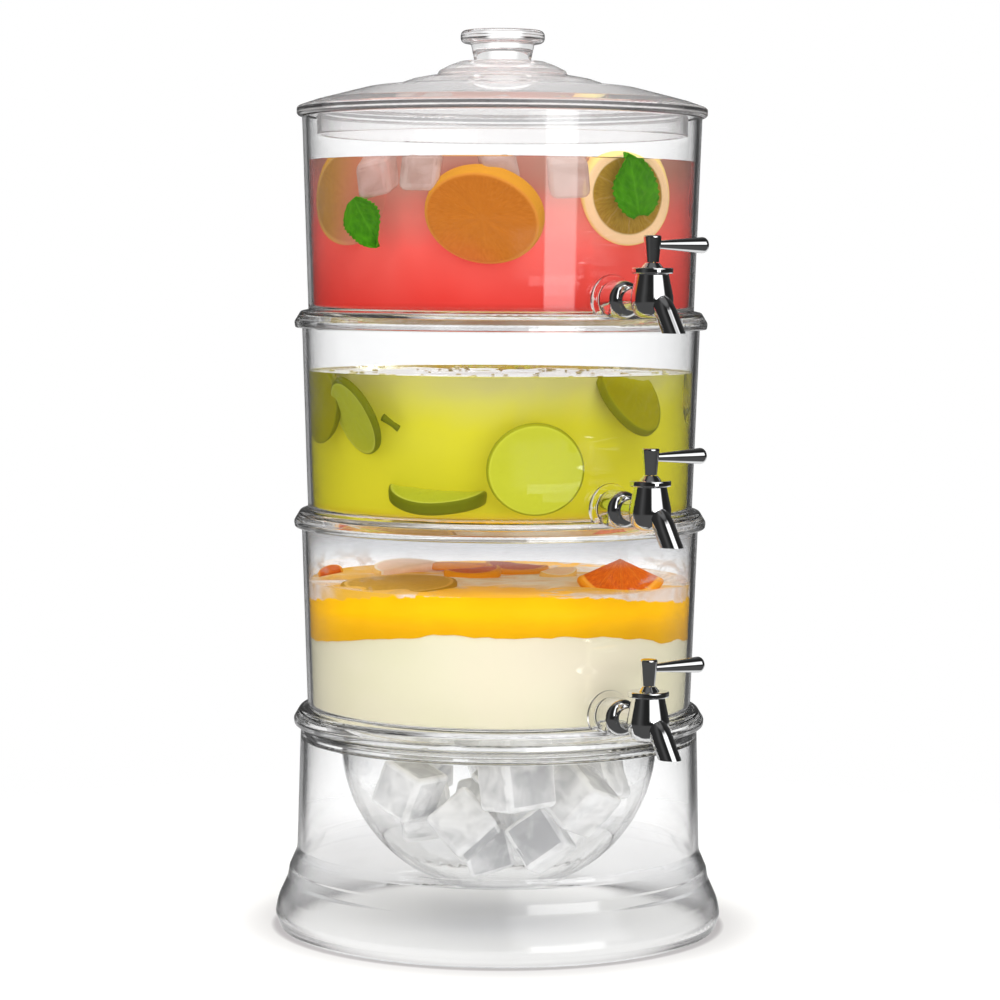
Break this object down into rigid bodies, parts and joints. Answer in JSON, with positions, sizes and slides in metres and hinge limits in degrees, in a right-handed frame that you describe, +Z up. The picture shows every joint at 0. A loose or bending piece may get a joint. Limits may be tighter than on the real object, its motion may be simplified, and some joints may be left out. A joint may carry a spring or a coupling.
{
  "type": "stackable juice dispenser",
  "caption": "Clear round juice vessels stacked on a flared stand with a hanging ice bowl, a stepped lid with a knob, and a chrome lever tap at the foot of each vessel.",
  "frame": {"origin": "on the stack's vertical axis, at the table that the stand's foot ring rests on", "axes": "+Z up along the stack, -Y towards the taps, +X towards the tips of the closed levers"},
  "size_m": [0.2823, 0.3336, 0.564],
  "materials": {
    "clear_plastic": "clear polished moulding",
    "chrome": "mirror plated",
    "pale_plastic": "moulded, satin",
    "pale_seal": "matte food-grade seal",
    "brass": "turned",
    "rubber": "matte seal"
  },
  "bodies": {
    "base": {"base": "clear_plastic"},
    "ice_bowl": {"ice_bowl": "clear_plastic"},
    "bottom_tier": {"bottom_tier": "clear_plastic", "bottom_tier_skirt": "clear_plastic", "bottom_tier_ring": "clear_plastic", "bottom_tap_body": "chrome", "bottom_tap_collar": "chrome", "bottom_tap_outer_washer": "rubber", "bottom_tap_inner_washer": "pale_seal", "bottom_tap_lock_nut": "pale_plastic", "bottom_tap_bonnet": "chrome"},
    "bottom_valve": {"bottom_tap_valve_plug": "brass", "bottom_tap_o_ring": "rubber", "bottom_tap_post": "chrome", "bottom_tap_lever": "chrome"},
    "middle_tier": {"middle_tier": "clear_plastic", "middle_tier_skirt": "clear_plastic", "middle_tier_ring": "clear_plastic", "middle_tap_body": "chrome", "middle_tap_collar": "chrome", "middle_tap_outer_washer": "rubber", "middle_tap_inner_washer": "pale_seal", "middle_tap_lock_nut": "pale_plastic", "middle_tap_bonnet": "chrome"},
    "middle_valve": {"middle_tap_valve_plug": "brass", "middle_tap_o_ring": "rubber", "middle_tap_post": "chrome", "middle_tap_lever": "chrome"},
    "top_tier": {"top_tier": "clear_plastic", "top_tier_skirt": "clear_plastic", "top_tier_ring": "clear_plastic", "top_tap_body": "chrome", "top_tap_collar": "chrome", "top_tap_outer_washer": "rubber", "top_tap_inner_washer": "pale_seal", "top_tap_lock_nut": "pale_plastic", "top_tap_bonnet": "chrome"},
    "top_valve": {"top_tap_valve_plug": "brass", "top_tap_o_ring": "rubber", "top_tap_post": "chrome", "top_tap_lever": "chrome"},
    "lid": {"lid": "clear_plastic", "lid_knob": "clear_plastic"}
  },
  "joints": [
    {"name": "ice_bowl_lift", "type": "slide", "parent": "base", "child": "ice_bowl", "axis": [0, 0, 1], "range_m": [0, 0.13]},
    {"name": "bottom_tier_lift", "type": "slide", "parent": "ice_bowl", "child": "bottom_tier", "axis": [0, 0, 1], "range_m": [0, 0.13]},
    {"name": "bottom_tap_turn", "type": "hinge", "parent": "bottom_tier", "child": "bottom_valve", "pos_m": [0, -0.1625, 0.1475], "axis": [0, 0, -1], "range_deg": [0, 90]},
    {"name": "middle_tier_lift", "type": "slide", "parent": "bottom_tier", "child": "middle_tier", "axis": [0, 0, 1], "range_m": [0, 0.13]},
    {"name": "middle_tap_turn", "type": "hinge", "parent": "middle_tier", "child": "middle_valve", "pos_m": [0, -0.1625, 0.2725], "axis": [0, 0, -1], "range_deg": [0, 90]},
    {"name": "top_tier_lift", "type": "slide", "parent": "middle_tier", "child": "top_tier", "axis": [0, 0, 1], "range_m": [0, 0.13]},
    {"name": "top_tap_turn", "type": "hinge", "parent": "top_tier", "child": "top_valve", "pos_m": [0, -0.1625, 0.3975], "axis": [0, 0, -1], "range_deg": [0, 90]},
    {"name": "lid_lift", "type": "slide", "parent": "top_tier", "child": "lid", "axis": [0, 0, 1], "range_m": [0, 0.13]}
  ]
}
